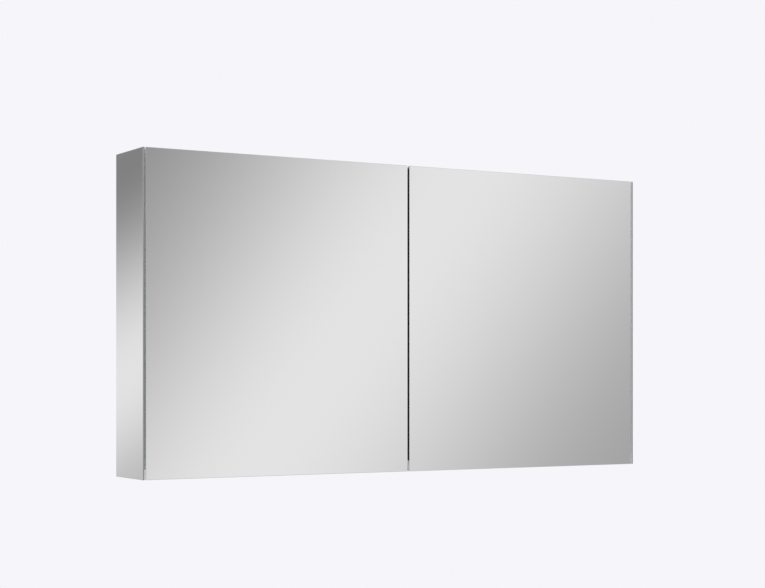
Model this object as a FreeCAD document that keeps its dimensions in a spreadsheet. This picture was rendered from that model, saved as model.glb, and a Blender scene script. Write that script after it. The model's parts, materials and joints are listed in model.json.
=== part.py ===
import FreeCAD, Part
import Sketcher
import os

# A wall-hung bathroom mirror cabinet with two mirror doors and mirror side panels.
# Frame: +Z up, +X to the viewer's right, the doors face -Y and the wall is the plane Y = 0.
# The origin lies on the wall, at the middle of the wall rail's row of screw holes.
# The left half is modelled, and most right-hand pieces are mirror images of it.

doc = FreeCAD.newDocument("mirror_cabinet")

# ---------------------------------------------------------------- driving dimensions, in mm

SIZES = {
    # whole cabinet
    "wide": 1200,
    "tall": 645,
    "deep": 140,
    "rail_drop": 60,  # the row of wall screws lies this far below the top edge
    # glass and board
    "front_glass": 4,
    "side_glass": 4,
    "inner_glass": 3,
    "glass_arris": 0.6,  # ground bevel on every glass edge
    "board": 16,
    # doors
    "core": 16,
    "side_gap": 2.2,  # door to side mirror
    "centre_gap": 4.2,  # door to door
    "rest_gap": 2.5,  # back of the door to the front edges of the carcass
    "grip_drop": 21,  # the glass hangs this far below the carcass, as a finger grip
    "core_inset": 4,  # the door's board stops this far inside the glass at its sides
    "core_top_gap": 4,
    "core_foot_gap": 1,
    "inner_side": 18,  # inner mirror to the hinge edge of the door
    "inner_free": 16,  # inner mirror to the free edge of the door
    "inner_margin": 8,  # inner mirror to the top and bottom boards
    # pivots, measured from the hinge edge and from the front of the door
    "pivot_side": 11,
    "pivot_depth": 6.5,
    "pin_radius": 1.6,
    "pin_long": 12,
    "nose_radius": 2.1,
    "bore_play": 0.05,
    "plate": 3,
    "plate_right": 24,
    "plate_far": 62,
    "plate_left": 15,
    "plate_step": 24.5,
    "plate_back": 48,
    "plate_shoulder": 22,  # the plate widens here, just ahead of the carcass
    "waist_side": 12.2,
    "waist_depth": 18.3,
    "plate_screw_near": 24,
    "plate_screw_far": 52,
    "plate_screw_back": 36,
    "block_long": 24,
    "block_tall": 18,
    "ear_long": 20,
    "ear_thick": 4,
    "washer_radius": 2.3,
    "washer_thick": 0.8,
    # aluminium grip rail behind the foot of the door's glass
    "grip_near": 28,  # its end to the hinge edge of the door
    "grip_end": 0.8,  # its other end to the free edge of the door
    "grip_rise": 0.5,  # its foot above the foot of the glass
    "grip_tall": 20,
    "grip_web": 5.5,
    "grip_lip": 9,
    "grip_lip_tall": 4,
    "grip_bevel": 0.6,
    # back panel and its groove
    "panel": 3,
    "panel_recess": 18,
    "panel_tongue": 5.5,
    "groove_deep": 6,
    "groove_play": 0.1,
    # shelves
    "shelf_glass": 5,
    "shelf_play": 1.5,
    "shelf_front": 4,
    "hole_radius": 2.5,
    "hole_deep": 9,
    "hole_front": 20,
    "hole_back": 76,
    "hole_first": 136,
    "hole_pitch": 32,
    "hole_rows": 12,
    "lower_row": 2,
    "upper_row": 8,
    "pin_shank": 2.4,
    "pin_in": 7.5,
    "pin_head": 3,
    "pin_out": 9,
    # carcass fittings
    "cam_radius": 7.5,
    "cam_deep": 12.5,
    "cam_from_end": 24,
    "cam_front": 44,
    "cam_back": 84,
    "dowel_depth": 64,
    "bolt_radius": 4,
    "bolt_in": 11,
    "bolt_rod": 3,
    "bolt_tip": 4,
    "notch_play": 0.6,
    "fit_play": 0.1,
    "dowel_long": 28,
    "divider_screw_front": 30,
    "divider_screw_back": 70,
    "divider_screw_radius": 3,
    "divider_head_radius": 5,
    "divider_screw_long": 46,
    # magnetic catches, bumpers
    "magnet_radius": 4,
    "magnet_long": 12,
    "magnet_proud": 1.5,
    "magnet_side": 60,
    "strike_radius": 4.5,
    "strike_thick": 2.2,
    "catch_edge": 5.5,  # strike plate's centre to the end of the door's board
    "bumper_radius": 4,
    "bumper_thick": 2.2,
    "bumper_near": 30,
    "bumper_far": 480,
    # wall rail and hangers
    "rail_long": 1150,
    "rail_steel": 2,
    "rail_stand": 8,
    "rail_foot": 20,
    "rail_step": 8,
    "lip_top": 24,
    "rail_hole": 3.5,
    "rail_hole_outer": 450,
    "rail_hole_inner": 150,
    "hanger_wide": 18,
    "hanger_deep": 48,
    "hanger_tall": 56,
    "hanger_foot": 18,
    "hanger_round": 2,
    "slot_play": 0.3,
    "slot_travel": 2,  # room for the hook to be raised or lowered
    "hook_steel": 2.5,
    "hook_bar": 6,
    "hook_tip": 10,
    "hook_reach": 34,
    "adjuster_radius": 3.5,
    "adjuster_long": 12,
    "adjuster_proud": 2,
    # small wood screws with a countersunk head and a cross recess
    "screw_radius": 1.7,
    "screw_head": 3.6,
    "screw_head_deep": 2,
    "screw_long": 14,
    "short_screw_long": 11,
    "recess_long": 3.6,
    "recess_wide": 0.8,
    "recess_deep": 1.4,
}

sheet = doc.addObject("Spreadsheet::Sheet", "Sizes")
for row, (alias, number) in enumerate(SIZES.items(), start=1):
    sheet.set(f"A{row}", alias)
    sheet.set(f"B{row}", str(number))
    sheet.setAlias(f"B{row}", alias)
doc.recompute()

# Places that many pieces share, as expressions on the sheet.
TOP = "Sizes.rail_drop"
GLASS_FOOT = "(Sizes.rail_drop - Sizes.tall)"
FOOT = "(Sizes.rail_drop - Sizes.tall + Sizes.grip_drop)"
SIDE = "(Sizes.wide / 2 - Sizes.side_glass)"
INNER = "(Sizes.wide / 2 - Sizes.side_glass - Sizes.board)"
DOOR_SIDE = "(Sizes.wide / 2 - Sizes.side_glass - Sizes.side_gap)"
DOOR_WIDE = "(Sizes.wide / 2 - Sizes.side_glass - Sizes.side_gap - Sizes.centre_gap / 2)"
DOOR_BACK = "(Sizes.front_glass + Sizes.core - Sizes.deep)"
CARCASS_FRONT = "(Sizes.front_glass + Sizes.core + Sizes.rest_gap - Sizes.deep)"
CARCASS_DEEP = "(Sizes.deep - Sizes.front_glass - Sizes.core - Sizes.rest_gap)"
CARCASS_TALL = "(Sizes.tall - Sizes.grip_drop)"
PANEL_FRONT = "(Sizes.panel_recess + Sizes.panel)"
CORE_TOP = "(Sizes.rail_drop - Sizes.core_top_gap)"
CORE_FOOT = "(Sizes.rail_drop - Sizes.tall + Sizes.grip_drop + Sizes.core_foot_gap)"

EAR_SCREWS = (0.28, 0.74)  # places of the two screws along a pivot block's ear

UP = FreeCAD.Vector(0, 0, 1)
DOWN = FreeCAD.Vector(0, 0, -1)
TO_FRONT = FreeCAD.Vector(0, -1, 0)
TO_WALL = FreeCAD.Vector(0, 1, 0)
TO_LEFT = FreeCAD.Vector(-1, 0, 0)
TO_RIGHT = FreeCAD.Vector(1, 0, 0)

parts = []  # the finished sub-parts, each with its node's name as its Label


# ---------------------------------------------------------------- helpers


def number(expression):
    """The present value of an expression on the sheet."""
    return float(sheet.evalExpression(str(expression)))


def bind(thing, **expressions):
    """Binds properties of an object to expressions."""
    for name, expression in expressions.items():
        thing.setExpression(name, str(expression))


def place(thing, spot, direction=UP):
    """Puts an object at spot, three expressions, with its own +Z along direction."""
    turn = FreeCAD.Rotation(TO_RIGHT, 180) if direction == DOWN else FreeCAD.Rotation(UP, direction)
    thing.Placement = FreeCAD.Placement(FreeCAD.Vector(), turn)
    for axis, expression in zip("xyz", spot):
        thing.setExpression(f"Placement.Base.{axis}", str(expression))


def finish(thing, label):
    """Names a finished sub-part and keeps it for export."""
    thing.Label = label
    parts.append(thing)
    return thing


def mirror_image(thing, label):
    """The same piece on the other side of the plane X = 0."""
    image = doc.addObject("Part::Mirroring", label)
    image.Source = thing
    image.Normal = TO_RIGHT
    return image


def both_sides(thing, name):
    """Keeps left_NAME and its mirror image right_NAME."""
    finish(thing, f"left_{name}")
    finish(mirror_image(thing, f"right_{name}"), f"right_{name}")


def compound_of(name, things):
    """Several separate solids as one object."""
    compound = doc.addObject("Part::Compound", name)
    compound.Links = things
    return compound


def group(label, things):
    """One finished node of several separate solids."""
    return finish(compound_of(label, things), label)


def new_body(name, spot):
    body = doc.addObject("PartDesign::Body", name)
    place(body, spot)
    return body


def new_sketch(body, plane, offset="0"):
    """A sketch on one of the body's own origin planes, moved along the plane's normal."""
    sketch = body.newObject("Sketcher::SketchObject", f"{body.Name}_sketch")
    origin_plane = [f for f in body.Origin.OriginFeatures if f.Role == plane][0]
    sketch.AttachmentSupport = [(origin_plane, "")]
    sketch.MapMode = "FlatFace"
    sketch.setExpression("AttachmentOffset.Base.z", offset)
    return sketch


def pin_point(sketch, element, point, across, along):
    """Fixes one point of a sketch at expressions measured from the sketch's origin."""
    origin, x_axis, y_axis = (-1, 1), -1, -2
    for kind, expression, axis in (("DistanceX", across, y_axis), ("DistanceY", along, x_axis)):
        if number(expression) == 0:
            sketch.addConstraint(Sketcher.Constraint("PointOnObject", element, point, axis))
            continue
        constraint = Sketcher.Constraint(kind, *origin, element, point, number(expression))
        sketch.setExpression(f"Constraints[{sketch.addConstraint(constraint)}]", str(expression))


def outline(sketch, points):
    """A closed outline of straight edges through points given as expressions."""
    corners = [FreeCAD.Vector(number(x), number(y), 0) for x, y in points]
    first = sketch.GeometryCount
    count = len(corners)
    for i, corner in enumerate(corners):
        sketch.addGeometry(Part.LineSegment(corner, corners[(i + 1) % count]), False)
    for i in range(count):
        following = first + (i + 1) % count
        sketch.addConstraint(Sketcher.Constraint("Coincident", first + i, 2, following, 1))
    for i, (x, y) in enumerate(points):
        pin_point(sketch, first + i, 1, x, y)


def rectangle(sketch, left, low, right, high):
    outline(sketch, [(left, low), (right, low), (right, high), (left, high)])


def circle(sketch, across, along, radius):
    centre = FreeCAD.Vector(number(across), number(along), 0)
    element = sketch.addGeometry(Part.Circle(centre, UP, number(radius)), False)
    pin_point(sketch, element, 3, across, along)
    size = sketch.addConstraint(Sketcher.Constraint("Radius", element, number(radius)))
    sketch.setExpression(f"Constraints[{size}]", str(radius))


def pad(body, sketch, length, backwards=False):
    feature = body.newObject("PartDesign::Pad", f"{body.Name}_pad")
    feature.Profile = sketch
    feature.Reversed = backwards
    bind(feature, Length=length)
    doc.recompute()
    return feature


def pocket(body, sketch, depth, backwards=False):
    """Cuts a sketch into the body, and makes sure that the cut removes something."""
    before = body.Shape.Volume
    feature = body.newObject("PartDesign::Pocket", f"{body.Name}_pocket")
    feature.Profile = sketch
    feature.Reversed = backwards
    bind(feature, Length=depth)
    doc.recompute()
    if not body.Shape.Volume < before - 0.1:
        raise RuntimeError(f"{feature.Name} cuts nothing")
    return feature


def bevel_all(body, size):
    """A small bevel on every edge of a glass pane."""
    base = body.Tip
    feature = body.newObject("PartDesign::Chamfer", f"{body.Name}_arris")
    feature.Base = (base, [f"Edge{i + 1}" for i in range(len(base.Shape.Edges))])
    bind(feature, Size=size)
    doc.recompute()
    return feature


def bevel_rims(body, radius, height, size):
    """Countersinks the round rims of one radius at one height of the body."""
    base = body.Tip
    rims = []
    for i, edge in enumerate(base.Shape.Edges, start=1):
        round_rim = isinstance(edge.Curve, Part.Circle) and abs(edge.Curve.Radius - radius) < 1e-6
        if round_rim and abs(edge.CenterOfMass.z - height) < 1e-6:
            rims.append(f"Edge{i}")
    feature = body.newObject("PartDesign::Chamfer", f"{body.Name}_countersink")
    feature.Base = (base, rims)
    bind(feature, Size=size)
    doc.recompute()
    return feature


def box(name, spot, long, deep, tall):
    thing = doc.addObject("Part::Box", name)
    bind(thing, Length=long, Width=deep, Height=tall)
    place(thing, spot)
    return thing


def cylinder(name, spot, radius, height, direction=UP):
    thing = doc.addObject("Part::Cylinder", name)
    bind(thing, Radius=radius, Height=height)
    place(thing, spot, direction)
    return thing


def cone(name, spot, low_radius, high_radius, height):
    thing = doc.addObject("Part::Cone", name)
    bind(thing, Radius1=low_radius, Radius2=high_radius, Height=height)
    place(thing, spot)
    return thing


def fuse(name, things):
    thing = doc.addObject("Part::MultiFuse", name)
    thing.Shapes = things
    return thing


def cut(name, base, tool):
    thing = doc.addObject("Part::Cut", name)
    thing.Base = base
    thing.Tool = tool
    return thing


def cross_recess(name, height):
    """The two crossing slots of a cross-head drive, cut down from height."""
    low = f"{height} - Sizes.recess_deep"
    half_long = "-Sizes.recess_long / 2"
    half_wide = "-Sizes.recess_wide / 2"
    one = box(f"{name}_slot_a", (half_long, half_wide, low), "Sizes.recess_long",
              "Sizes.recess_wide", "Sizes.recess_deep + 1")
    other = box(f"{name}_slot_b", (half_wide, half_long, low), "Sizes.recess_wide",
                "Sizes.recess_long", "Sizes.recess_deep + 1")
    return fuse(f"{name}_cross", [one, other])


def wood_screw(name, spot, direction, length="Sizes.screw_long"):
    """A countersunk screw whose head's face is at spot and whose shank runs the other way."""
    shank = cylinder(f"{name}_shank", ("0", "0", f"-{length}"), "Sizes.screw_radius",
                     f"{length} - Sizes.screw_head_deep / 2")
    head = cone(f"{name}_head", ("0", "0", "-Sizes.screw_head_deep"), "Sizes.screw_radius",
                "Sizes.screw_head", "Sizes.screw_head_deep")
    screw = cut(name, fuse(f"{name}_blank", [shank, head]), cross_recess(name, "0"))
    place(screw, spot, direction)
    return screw


# ---------------------------------------------------------------- carcass boards


def cam_spots():
    """Distances of the cam fittings from the front edge of the carcass."""
    return ("Sizes.cam_front", "Sizes.cam_back")


def side_board():
    """The left side board, drawn on its inner face from its lower front corner."""
    body = new_body("side_board", (f"-{INNER}", CARCASS_FRONT, FOOT))
    face = new_sketch(body, "YZ_Plane")
    rectangle(face, "0", "0", CARCASS_DEEP, CARCASS_TALL)
    pad(body, face, "Sizes.board", backwards=True)

    groove = new_sketch(body, "YZ_Plane")
    front = f"{CARCASS_DEEP} - {PANEL_FRONT} - Sizes.groove_play"
    back = f"{CARCASS_DEEP} - Sizes.panel_recess + Sizes.groove_play"
    rectangle(groove, front, "0", back, CARCASS_TALL)
    pocket(body, groove, "Sizes.groove_deep")

    joints = new_sketch(body, "YZ_Plane")
    for level in ("Sizes.board / 2", f"{CARCASS_TALL} - Sizes.board / 2"):
        for spot in (*cam_spots(), "Sizes.dowel_depth"):
            circle(joints, spot, level, "Sizes.bolt_radius + Sizes.fit_play")
    pocket(body, joints, "Sizes.bolt_in + Sizes.fit_play")

    holes = new_sketch(body, "YZ_Plane")
    for spot in ("Sizes.hole_front", "Sizes.hole_back"):
        circle(holes, spot, "Sizes.hole_first", "Sizes.hole_radius")
    row_of_holes(body, holes, pocket(body, holes, "Sizes.hole_deep"))
    both_sides(body, "side_board")


def row_of_holes(body, sketch, first):
    """Repeats the lowest pair of shelf-pin holes up the board."""
    pattern = body.newObject("PartDesign::LinearPattern", f"{body.Name}_rows")
    pattern.Originals = [first]
    pattern.Direction = (sketch, ["V_Axis"])
    bind(pattern, Length="Sizes.hole_pitch * (Sizes.hole_rows - 1)", Occurrences="Sizes.hole_rows")
    body.Tip = pattern
    doc.recompute()


def cross_board(name, foot, outward):
    """A top or bottom board, drawn on its inner face; outward is 1 for the top board."""
    long = f"(2 * {INNER})"
    middle = INNER
    body = new_body(name, (f"-{INNER}", CARCASS_FRONT, foot))
    face = new_sketch(body, "XY_Plane")
    rectangle(face, "0", "0", long, CARCASS_DEEP)
    pad(body, face, "Sizes.board", backwards=outward < 0)

    groove = new_sketch(body, "XY_Plane")
    front = f"{CARCASS_DEEP} - {PANEL_FRONT} - Sizes.groove_play"
    back = f"{CARCASS_DEEP} - Sizes.panel_recess + Sizes.groove_play"
    rectangle(groove, "0", front, long, back)
    pocket(body, groove, "Sizes.groove_deep", backwards=outward > 0)

    outer_level = f"{outward} * Sizes.board"
    cams = new_sketch(body, "XY_Plane", outer_level)
    for end in ("Sizes.cam_from_end", f"{long} - Sizes.cam_from_end"):
        for spot in cam_spots():
            circle(cams, end, spot, "Sizes.cam_radius + Sizes.fit_play")
    pocket(body, cams, "Sizes.cam_deep", backwards=outward < 0)

    divider_heads = new_sketch(body, "XY_Plane", outer_level)
    for spot in ("Sizes.divider_screw_front", "Sizes.divider_screw_back"):
        circle(divider_heads, middle, spot, "Sizes.divider_head_radius + Sizes.fit_play")
    pocket(body, divider_heads, "Sizes.divider_head_radius", backwards=outward < 0)
    divider_shanks = new_sketch(body, "XY_Plane", outer_level)
    for spot in ("Sizes.divider_screw_front", "Sizes.divider_screw_back"):
        circle(divider_shanks, middle, spot, "Sizes.divider_screw_radius + Sizes.fit_play")
    pocket(body, divider_shanks, "Sizes.board", backwards=outward < 0)

    level = f"{outward} * Sizes.board / 2"
    for end, inward in (("0", True), (long, False)):
        bolts = new_sketch(body, "YZ_Plane", end)
        for spot in cam_spots():
            circle(bolts, spot, level, "Sizes.bolt_rod + Sizes.fit_play")
        pocket(body, bolts, "Sizes.cam_from_end", backwards=inward)
        dowels = new_sketch(body, "YZ_Plane", end)
        circle(dowels, "Sizes.dowel_depth", level, "Sizes.bolt_radius + Sizes.fit_play")
        pocket(body, dowels, "Sizes.dowel_long - Sizes.bolt_in + Sizes.fit_play", backwards=inward)

    if outward > 0:
        catch_level = f"{CORE_TOP} - Sizes.catch_edge - {foot}"
    else:
        catch_level = f"{CORE_FOOT} + Sizes.catch_edge - {foot}"
    magnets = new_sketch(body, "XZ_Plane")
    for across in (f"{middle} - Sizes.magnet_side", f"{middle} + Sizes.magnet_side"):
        circle(magnets, across, catch_level, "Sizes.magnet_radius + Sizes.fit_play")
    pocket(body, magnets, "Sizes.magnet_long - Sizes.magnet_proud + Sizes.fit_play")

    recess_and_screw_holes(body, long, outward)
    return finish(body, name)


def recess_and_screw_holes(body, long, outward):
    """Lets the pivot plates into the top board, and drills for the plates' screws."""
    door_edge = "(Sizes.side_gap - Sizes.board)"  # hinge edge of the door from the board's end
    carcass_front = "(Sizes.front_glass + Sizes.core + Sizes.rest_gap)"
    left = f"Sizes.plate_left + {door_edge} - Sizes.fit_play"
    right = f"Sizes.plate_far + {door_edge} + Sizes.fit_play"
    back = f"Sizes.plate_back - {carcass_front} + Sizes.fit_play"
    outer_level = f"{outward} * Sizes.board"
    if outward > 0:
        recess = new_sketch(body, "XY_Plane", outer_level)
        rectangle(recess, left, "0", right, back)
        rectangle(recess, f"{long} - ({right})", "0", f"{long} - ({left})", back)
        pocket(body, recess, "Sizes.plate")
    holes = new_sketch(body, "XY_Plane", outer_level)
    along = f"Sizes.plate_screw_back - {carcass_front}"
    for spot in ("Sizes.plate_screw_near", "Sizes.plate_screw_far"):
        across = f"{spot} + {door_edge}"
        for side in (across, f"{long} - ({across})"):
            circle(holes, side, along, "Sizes.screw_radius + Sizes.bore_play")
    pocket(body, holes, "Sizes.board - Sizes.bore_play", backwards=outward < 0)


def centre_partition():
    """The upright between the two compartments, drawn on its left face."""
    tall = f"({CARCASS_TALL} - 2 * Sizes.board)"
    deep = f"({CARCASS_DEEP} - {PANEL_FRONT})"
    body = new_body("centre_partition", ("-Sizes.board / 2", CARCASS_FRONT, f"{FOOT} + Sizes.board"))
    face = new_sketch(body, "YZ_Plane")
    rectangle(face, "0", "0", deep, tall)
    pad(body, face, "Sizes.board")

    for end, down in (("0", True), (tall, False)):
        screws = new_sketch(body, "XY_Plane", end)
        for spot in ("Sizes.divider_screw_front", "Sizes.divider_screw_back"):
            circle(screws, "Sizes.board / 2", spot, "Sizes.divider_screw_radius + Sizes.fit_play")
        pocket(body, screws, "Sizes.divider_screw_long - Sizes.board + 1", backwards=down)

    holes = new_sketch(body, "YZ_Plane")
    for spot in ("Sizes.hole_front", "Sizes.hole_back"):
        circle(holes, spot, "Sizes.hole_first - Sizes.board", "Sizes.hole_radius")
    row_of_holes(body, holes, pocket(body, holes, "Sizes.board", backwards=True))
    finish(body, "centre_partition")


def back_panel():
    """The thin back panel in its grooves, with two slots for the hanger hooks."""
    wide = f"(2 * {INNER} + 2 * Sizes.panel_tongue)"
    tall = f"({CARCASS_TALL} - 2 * Sizes.board + 2 * Sizes.panel_tongue)"
    foot = f"({FOOT} + Sizes.board - Sizes.panel_tongue)"
    body = new_body("back_panel", (f"-{INNER} - Sizes.panel_tongue", "-Sizes.panel_recess", foot))
    face = new_sketch(body, "XZ_Plane")
    rectangle(face, "0", "0", wide, tall)
    pad(body, face, "Sizes.panel")

    slots = new_sketch(body, "XZ_Plane")
    near = "Sizes.panel_tongue + Sizes.hanger_wide / 2 - 3 * Sizes.hook_steel"
    far = "Sizes.panel_tongue + Sizes.hanger_wide / 2 + 3 * Sizes.hook_steel"
    low = f"Sizes.lip_top - Sizes.hook_bar - {foot}"
    high = f"Sizes.lip_top + 2 * Sizes.hook_bar - {foot}"
    rectangle(slots, near, low, far, high)
    rectangle(slots, f"{wide} - ({far})", low, f"{wide} - ({near})", high)
    pocket(body, slots, "Sizes.panel", backwards=True)
    finish(body, "back_panel")


# ---------------------------------------------------------------- glass


def pane(name, plane, spot, across, along, thick, backwards=False):
    """A glass pane with ground edges."""
    body = new_body(name, spot)
    face = new_sketch(body, plane)
    rectangle(face, "0", "0", across, along)
    pad(body, face, thick, backwards)
    bevel_all(body, "Sizes.glass_arris")
    return body


def side_mirror():
    spot = ("-Sizes.wide / 2", "-Sizes.deep", GLASS_FOOT)
    body = pane("side_mirror", "YZ_Plane", spot, "Sizes.deep", "Sizes.tall", "Sizes.side_glass")
    both_sides(body, "side_mirror")


def shelves():
    """Two glass shelves on the left, on chosen rows of the pin holes, and two on the right."""
    wide = f"({INNER} - Sizes.board / 2 - 2 * Sizes.shelf_play)"
    deep = f"({CARCASS_DEEP} - {PANEL_FRONT} - Sizes.shelf_front - Sizes.shelf_play)"
    for level in ("lower", "upper"):
        under = f"{FOOT} + Sizes.hole_first + Sizes.hole_pitch * Sizes.{level}_row + Sizes.pin_head"
        spot = (f"-{INNER} + Sizes.shelf_play", f"{CARCASS_FRONT} + Sizes.shelf_front", under)
        body = pane(f"{level}_shelf", "XY_Plane", spot, wide, deep, "Sizes.shelf_glass")
        both_sides(body, f"{level}_shelf")


def shelf_pins():
    """Four pins under each shelf: a shank in the board and a thicker head under the glass."""
    pins = []
    for level in ("lower", "upper"):
        height = f"{FOOT} + Sizes.hole_first + Sizes.hole_pitch * Sizes.{level}_row"
        for place_name in ("front", "back"):
            along = f"{CARCASS_FRONT} + Sizes.hole_{place_name}"
            for end, across, inward in (
                ("outer", f"-{INNER}", TO_RIGHT),
                ("middle", "-Sizes.board / 2", TO_LEFT),
            ):
                name = f"{level}_{place_name}_{end}_pin"
                shank = cylinder(f"{name}_shank", ("0", "0", "-Sizes.pin_in"), "Sizes.pin_shank",
                                 "Sizes.pin_in + Sizes.pin_out / 2")
                head = cylinder(f"{name}_head", ("0", "0", "0"), "Sizes.pin_head", "Sizes.pin_out")
                pin = fuse(name, [shank, head])
                place(pin, (across, along, height), inward)
                pins.append(pin)
    both_sides(compound_of("shelf_pin_group", pins), "shelf_pins")


# ---------------------------------------------------------------- carcass fittings


def carcass_fittings():
    """Cams and their bolts, wooden dowels, and the screws that hold the centre partition."""
    cams, bolts, dowels = [], [], []
    for level, outward, outer in ((f"{FOOT} + Sizes.board / 2", DOWN, FOOT),
                                  (f"{TOP} - Sizes.board / 2", UP, TOP)):
        side = "foot" if outward == DOWN else "head"
        for i, spot in enumerate(cam_spots()):
            along = f"{CARCASS_FRONT} + {spot}"
            across = f"-{INNER} + Sizes.cam_from_end"
            cams.append(cam(f"{side}_cam_{i}", (across, along, outer), outward))
            bolts.append(cam_bolt(f"{side}_bolt_{i}", (f"-{INNER}", along, level)))
        along = f"{CARCASS_FRONT} + Sizes.dowel_depth"
        start = f"-{INNER} - Sizes.bolt_in"
        dowels.append(cylinder(f"{side}_dowel", (start, along, level), "Sizes.bolt_radius",
                               "Sizes.dowel_long", TO_RIGHT))
    for name, things in (("cam_locks", cams), ("cam_bolts", bolts), ("wooden_dowels", dowels)):
        left = compound_of(f"{name}_left", things)
        group(name, [left, mirror_image(left, f"{name}_right")])
    divider_screws()


def cam(name, spot, outward):
    """A cam disc flush with the board's outer face, notched below for its bolt's head."""
    disc = cylinder(f"{name}_disc", ("0", "0", "-Sizes.cam_deep"), "Sizes.cam_radius",
                    "Sizes.cam_deep")
    notch = cylinder(f"{name}_notch", ("-Sizes.cam_radius - 1", "0", "-Sizes.board / 2"),
                     "Sizes.bolt_rod + Sizes.notch_play", "Sizes.cam_radius + Sizes.bolt_tip",
                     TO_RIGHT)
    hollow = cut(f"{name}_notched", disc, notch)
    lock = cut(name, hollow, cross_recess(name, "0"))
    place(lock, spot, outward)
    return lock


def cam_bolt(name, spot):
    """Its thread is in the side board, and its rod and head reach into the cam."""
    thread = cylinder(f"{name}_thread", ("0", "0", "-Sizes.bolt_in"), "Sizes.bolt_radius",
                      "Sizes.bolt_in")
    neck_long = "Sizes.cam_from_end - Sizes.cam_radius + Sizes.bolt_tip"
    rod = cylinder(f"{name}_rod", ("0", "0", "-1"), "Sizes.bolt_rod - 0.5", f"{neck_long} + 2")
    head = cylinder(f"{name}_tip", ("0", "0", neck_long), "Sizes.bolt_rod", "Sizes.bolt_tip")
    bolt = fuse(name, [thread, rod, head])
    place(bolt, spot, TO_RIGHT)
    return bolt


def divider_screws():
    """Two screws down through the top board and two up through the bottom board."""
    screws = []
    for side, outward, outer in (("foot", DOWN, FOOT), ("head", UP, TOP)):
        for spot in ("front", "back"):
            name = f"{side}_{spot}_divider_screw"
            shank = cylinder(f"{name}_shank", ("0", "0", "-Sizes.divider_screw_long"),
                             "Sizes.divider_screw_radius", "Sizes.divider_screw_long - 1")
            head = cylinder(f"{name}_head", ("0", "0", "-Sizes.divider_head_radius + 1"),
                            "Sizes.divider_head_radius", "Sizes.divider_head_radius - 1")
            screw = cut(name, fuse(f"{name}_blank", [shank, head]), cross_recess(name, "0"))
            place(screw, ("0", f"{CARCASS_FRONT} + Sizes.divider_screw_{spot}", outer), outward)
            screws.append(screw)
    group("partition_screws", screws)


def catch_magnets():
    """Round magnets let into the front edges of the top and bottom boards."""
    magnets = []
    for name, level in (("foot", f"{CORE_FOOT} + Sizes.catch_edge"),
                        ("head", f"{CORE_TOP} - Sizes.catch_edge")):
        start = f"{CARCASS_FRONT} - Sizes.magnet_proud"
        magnets.append(cylinder(f"{name}_magnet", ("-Sizes.magnet_side", start, level),
                                "Sizes.magnet_radius", "Sizes.magnet_long", TO_WALL))
    left = compound_of("magnets_left", magnets)
    group("catch_magnets", [left, mirror_image(left, "magnets_right")])


# ---------------------------------------------------------------- wall rail and hangers


def wall_rail():
    """A stepped steel rail: a flat strip on the wall and a lip that the hooks hang on."""
    body = new_body("wall_rail", ("-Sizes.rail_long / 2", "-Sizes.rail_stand", "-Sizes.rail_foot"))
    section = new_sketch(body, "YZ_Plane")
    lip_back = "Sizes.rail_steel"
    strip_front = "Sizes.rail_stand - Sizes.rail_steel"
    step_low = "Sizes.rail_foot + Sizes.rail_step"
    step_high = "Sizes.rail_foot + Sizes.rail_step + Sizes.rail_steel"
    lip_top = "Sizes.rail_foot + Sizes.lip_top"
    outline(section, [
        (strip_front, "0"), ("Sizes.rail_stand", "0"), ("Sizes.rail_stand", step_high),
        (lip_back, step_high), (lip_back, lip_top), ("0", lip_top), ("0", step_low),
        (strip_front, step_low),
    ])
    pad(body, section, "Sizes.rail_long")

    holes = new_sketch(body, "XZ_Plane")
    for spot in ("Sizes.rail_hole_outer", "Sizes.rail_hole_inner"):
        for sign in ("-", "+"):
            circle(holes, f"Sizes.rail_long / 2 {sign} {spot}", "Sizes.rail_foot", "Sizes.rail_hole")
    pocket(body, holes, "Sizes.rail_stand")
    finish(body, "wall_rail")


def hangers():
    """A hanger in each upper corner: a housing, a steel hook and two adjusting screws."""
    housing_back = f"-{PANEL_FRONT}"
    hook_left = f"(-{INNER} + Sizes.hanger_wide / 2 - Sizes.hook_steel / 2)"
    face = f"{housing_back} - Sizes.hanger_deep"
    housing = box("hanger_block", (f"-{INNER}", face, "-Sizes.hanger_foot"),
                  "Sizes.hanger_wide", "Sizes.hanger_deep", "Sizes.hanger_tall")
    slot = box("hanger_slot", (f"{hook_left} - Sizes.slot_play", f"{housing_back} - Sizes.hook_reach",
                               "Sizes.lip_top - Sizes.slot_travel"),
               "Sizes.hook_steel + 2 * Sizes.slot_play", "Sizes.hook_reach + 1",
               "Sizes.hook_bar + 2 * Sizes.slot_travel")
    rounded = doc.addObject("Part::Fillet", "hanger_rounded")
    rounded.Base = housing
    doc.recompute()
    radius = number("Sizes.hanger_round")
    rounded.Edges = [(i, radius, radius) for i in front_edges(housing.Shape)]
    bores, adjusters = [], []
    middle = f"-{INNER} + Sizes.hanger_wide / 2"
    for i, level in enumerate(("Sizes.lip_top + Sizes.hook_bar / 2", "-Sizes.hanger_foot / 3")):
        bores.append(cylinder(f"adjuster_bore_{i}", (middle, f"{face} - 1", level),
                              "Sizes.adjuster_radius + Sizes.fit_play",
                              "Sizes.adjuster_long - Sizes.adjuster_proud + 1", TO_WALL))
        stem = cylinder(f"adjuster_{i}_stem", ("0", "0", "-Sizes.adjuster_long"),
                        "Sizes.adjuster_radius", "Sizes.adjuster_long")
        adjuster = cut(f"adjuster_{i}", stem, cross_recess(f"adjuster_{i}", "0"))
        place(adjuster, (middle, f"{face} - Sizes.adjuster_proud", level), TO_FRONT)
        adjusters.append(adjuster)
    hollows = fuse("hanger_hollows", [slot, *bores])
    both_sides(cut("hanger_housing", rounded, hollows), "hanger_housing")
    both_sides(compound_of("hanger_adjusters", adjusters), "hanger_adjusters")
    hanger_hook(hook_left)


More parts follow.
